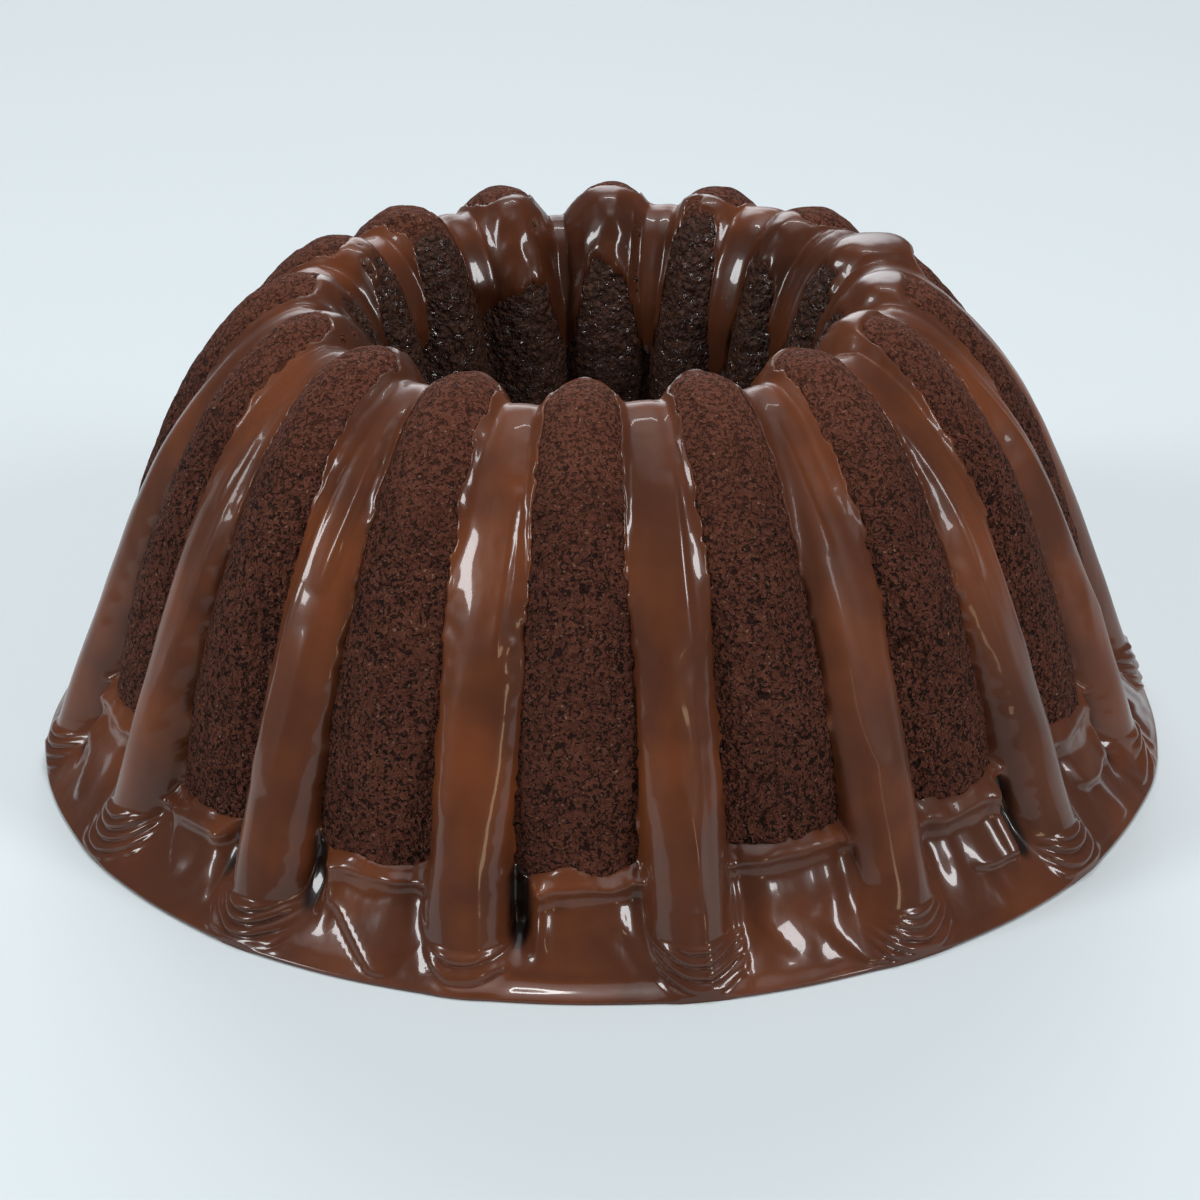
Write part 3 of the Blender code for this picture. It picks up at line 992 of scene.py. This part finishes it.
# Painted shade: the soaked crumb is painted darker than dry crumb, partly for the glaze it drank and partly
# for the shade of the hole.
soaked_shaded_tone = crumb_finish.mix(grains.between(0.4, 0.65), SOAKED_SHADED_BROWN, SOAKED_SHADED_PALE)
soaked_and_shaded_share = soaked_and_shaded.between(0.1, 0.9)
crumb_finish.over(soaked_and_shaded_share, Base_Color=soaked_shaded_tone, Roughness=0.55,
                  Specular_IOR_Level=0.2, Normal=wet_normal)
crumb_finish.over(soaked_and_shaded_share * drops, Base_Color=SOAKED_SHADED_BROWN, Roughness=0.09,
                  Specular_IOR_Level=1.0, Normal=wet_normal)
crumb_finish.wear(crumb)
print("nodes in the crumb finish:", len(crumb_finish.tree.nodes))

# %% [markdown]
# ## Chocolate glaze
# Set glaze is smooth and glossy, with a soft sheen and not a mirror. A clear coat over a
# slightly rough base gives the sharp and the soft part of its highlights. Round the rim and on
# some streams it set to a duller skin, so the coat thins out where the stored dullness is high.

# %% The colours and noises of the glaze
GLAZE_BROWN = (0.178, 0.048, 0.015, 1)
GLAZE_DEEP = (0.095, 0.027, 0.011, 1)
GLAZE_PATCH = (0.080, 0.026, 0.013, 1)
GLAZE_HOLLOW = (0.012, 0.004, 0.002, 1)

glaze_finish = Finish("chocolate glaze", Specular_IOR_Level=0.22, Coat_Roughness=0.06)
spot = glaze_finish.node("ShaderNodeTexCoord", {}, {}, "Object")
clouds = glaze_finish.node("ShaderNodeTexNoise", {}, {"Vector": spot, "Scale": 45.0, "Detail": 3.0})
specks = glaze_finish.node("ShaderNodeTexNoise", {}, {"Vector": spot, "Scale": 700.0, "Detail": 2.0})
patches = glaze_finish.node("ShaderNodeTexNoise", {}, {"Vector": spot, "Scale": 17.0, "Detail": 1.0})
low_down = glaze_finish.node("ShaderNodeSeparateXYZ", {}, {"Vector": spot}, "Z").between(0.024, 0.006)

# %% The finish of the glaze
glaze_tone = glaze_finish.mix(clouds.between(0.35, 0.66), GLAZE_DEEP, GLAZE_BROWN)
glaze_tone = glaze_finish.mix(patches.between(0.48, 0.70) * 0.65, glaze_tone, GLAZE_PATCH)
glaze_tone = glaze_finish.mix(low_down * 0.4, glaze_tone, GLAZE_PATCH)
hollow_share = glaze_finish.node("ShaderNodeAttribute", {"attribute_name": "hollow"}, {}, "Fac")
glaze_tone = glaze_finish.mix(hollow_share, glaze_tone, GLAZE_HOLLOW)
along = glaze_finish.node("ShaderNodeVectorMath", {"operation": "MULTIPLY"}, {0: spot, 1: (1.0, 1.0, 0.3)})
streaks = glaze_finish.node("ShaderNodeTexNoise", {}, {"Vector": along, "Scale": 320.0, "Detail": 1.0})
dull = glaze_finish.node("ShaderNodeAttribute", {"attribute_name": "dull"}, {}, "Fac")
skin_height = clouds * 0.8 + streaks * 0.5 + specks * 0.05
skin_normal = glaze_finish.bump(skin_height, 0.0012, 0.2)
glaze_finish.set(glaze_finish.shader, Base_Color=glaze_tone,
                 Roughness=clouds * 0.12 + 0.24 + dull * 0.2,
                 Coat_Weight=0.55 - dull * 0.5, Normal=skin_normal)
glaze_finish.wear(glaze)
print("nodes in the glaze finish:", len(glaze_finish.tree.nodes))

# %% [markdown]
# ## The floor and the light
# The cake stands on a plain pale floor. Most of the light is a soft glow overhead and a pale wall
# behind, both painted into the world with soft edges, because the edge of a lamp would show in the
# glaze. Four small panels add the bright streaks that make the glaze look wet.

# %% The floor
FLOOR_HALF = 4.0
floor_mesh = bpy.data.meshes.new("floor")
floor_corners = [(x * FLOOR_HALF, y * FLOOR_HALF, 0) for x, y in ((-1, -1), (1, -1), (1, 1), (-1, 1))]
floor_mesh.from_pydata(floor_corners, [], [(0, 1, 2, 3)])
floor = bpy.data.objects.new("floor", floor_mesh)
bpy.context.scene.collection.objects.link(floor)
Finish("pale floor", Base_Color=(0.72, 0.785, 0.805, 1), Roughness=0.7).wear(floor)

# %% The glow of the room
WORLD_LEVEL = 0.12
OVERHEAD_LEVEL = 1.15
WALL_LEVEL = 3.9

world = bpy.data.worlds.new("pale room")
world.use_nodes = True
sky = Web(world.node_tree)
look = sky.node("ShaderNodeTexCoord", {}, {}, "Generated")


def glow(way, start, end):
    """A round glow in the sky: 0 where the cosine to its middle is start, 1 where it is end."""
    toward = sky.node("ShaderNodeVectorMath", {"operation": "DOT_PRODUCT"}, {0: look, 1: way}, "Value")
    return toward.between(start, end)


overhead = glow((0.0, 0.10, 0.995), 0.84, 0.97)
wall = glow((-0.06, 0.90, 0.43), 0.905, 0.985)
background = world.node_tree.nodes["Background"]
background.inputs["Color"].default_value = (0.92, 0.96, 1.0, 1)
sky.feed(background.inputs["Strength"], overhead * OVERHEAD_LEVEL + wall * WALL_LEVEL + WORLD_LEVEL)
bpy.context.scene.world = world
bpy.context.scene.view_settings.view_transform = "Standard"


# %% The lights
LAMP_DISTANCE = 1.6
LAMP_AIM = Vector((0, 0, 0.05))


def soft_panel(name, turn, rise, size, glare, colour=(1, 1, 1)):
    """A rectangular lamp that faces the cake, turned from the front and raised by these degrees."""
    turn, rise = math.radians(turn), math.radians(rise)
    lamp = bpy.data.lights.new(name, "AREA")
    lamp.shape = "RECTANGLE"
    lamp.size, lamp.size_y = size
    lamp.energy = glare * math.pi * size[0] * size[1]
    lamp.color = colour
    panel = bpy.data.objects.new(name, lamp)
    away = Vector((math.sin(turn) * math.cos(rise), -math.cos(turn) * math.cos(rise), math.sin(rise)))
    panel.location = away * LAMP_DISTANCE + LAMP_AIM
    panel.rotation_euler = (-away).to_track_quat("-Z", "Y").to_euler()
    bpy.context.scene.collection.objects.link(panel)


soft_panel("window on the left", -66, 31, (0.32, 0.46), 20.0, (0.95, 0.98, 1.0))
soft_panel("window on the right", 56, 33, (0.30, 0.46), 20.0, (0.97, 0.98, 1.0))
soft_panel("ceiling tube", 180, 80, (0.9, 0.06), 36.0)
soft_panel("warm lamp in front", 25, 11, (0.20, 0.34), 5.5, (1.0, 0.74, 0.48))
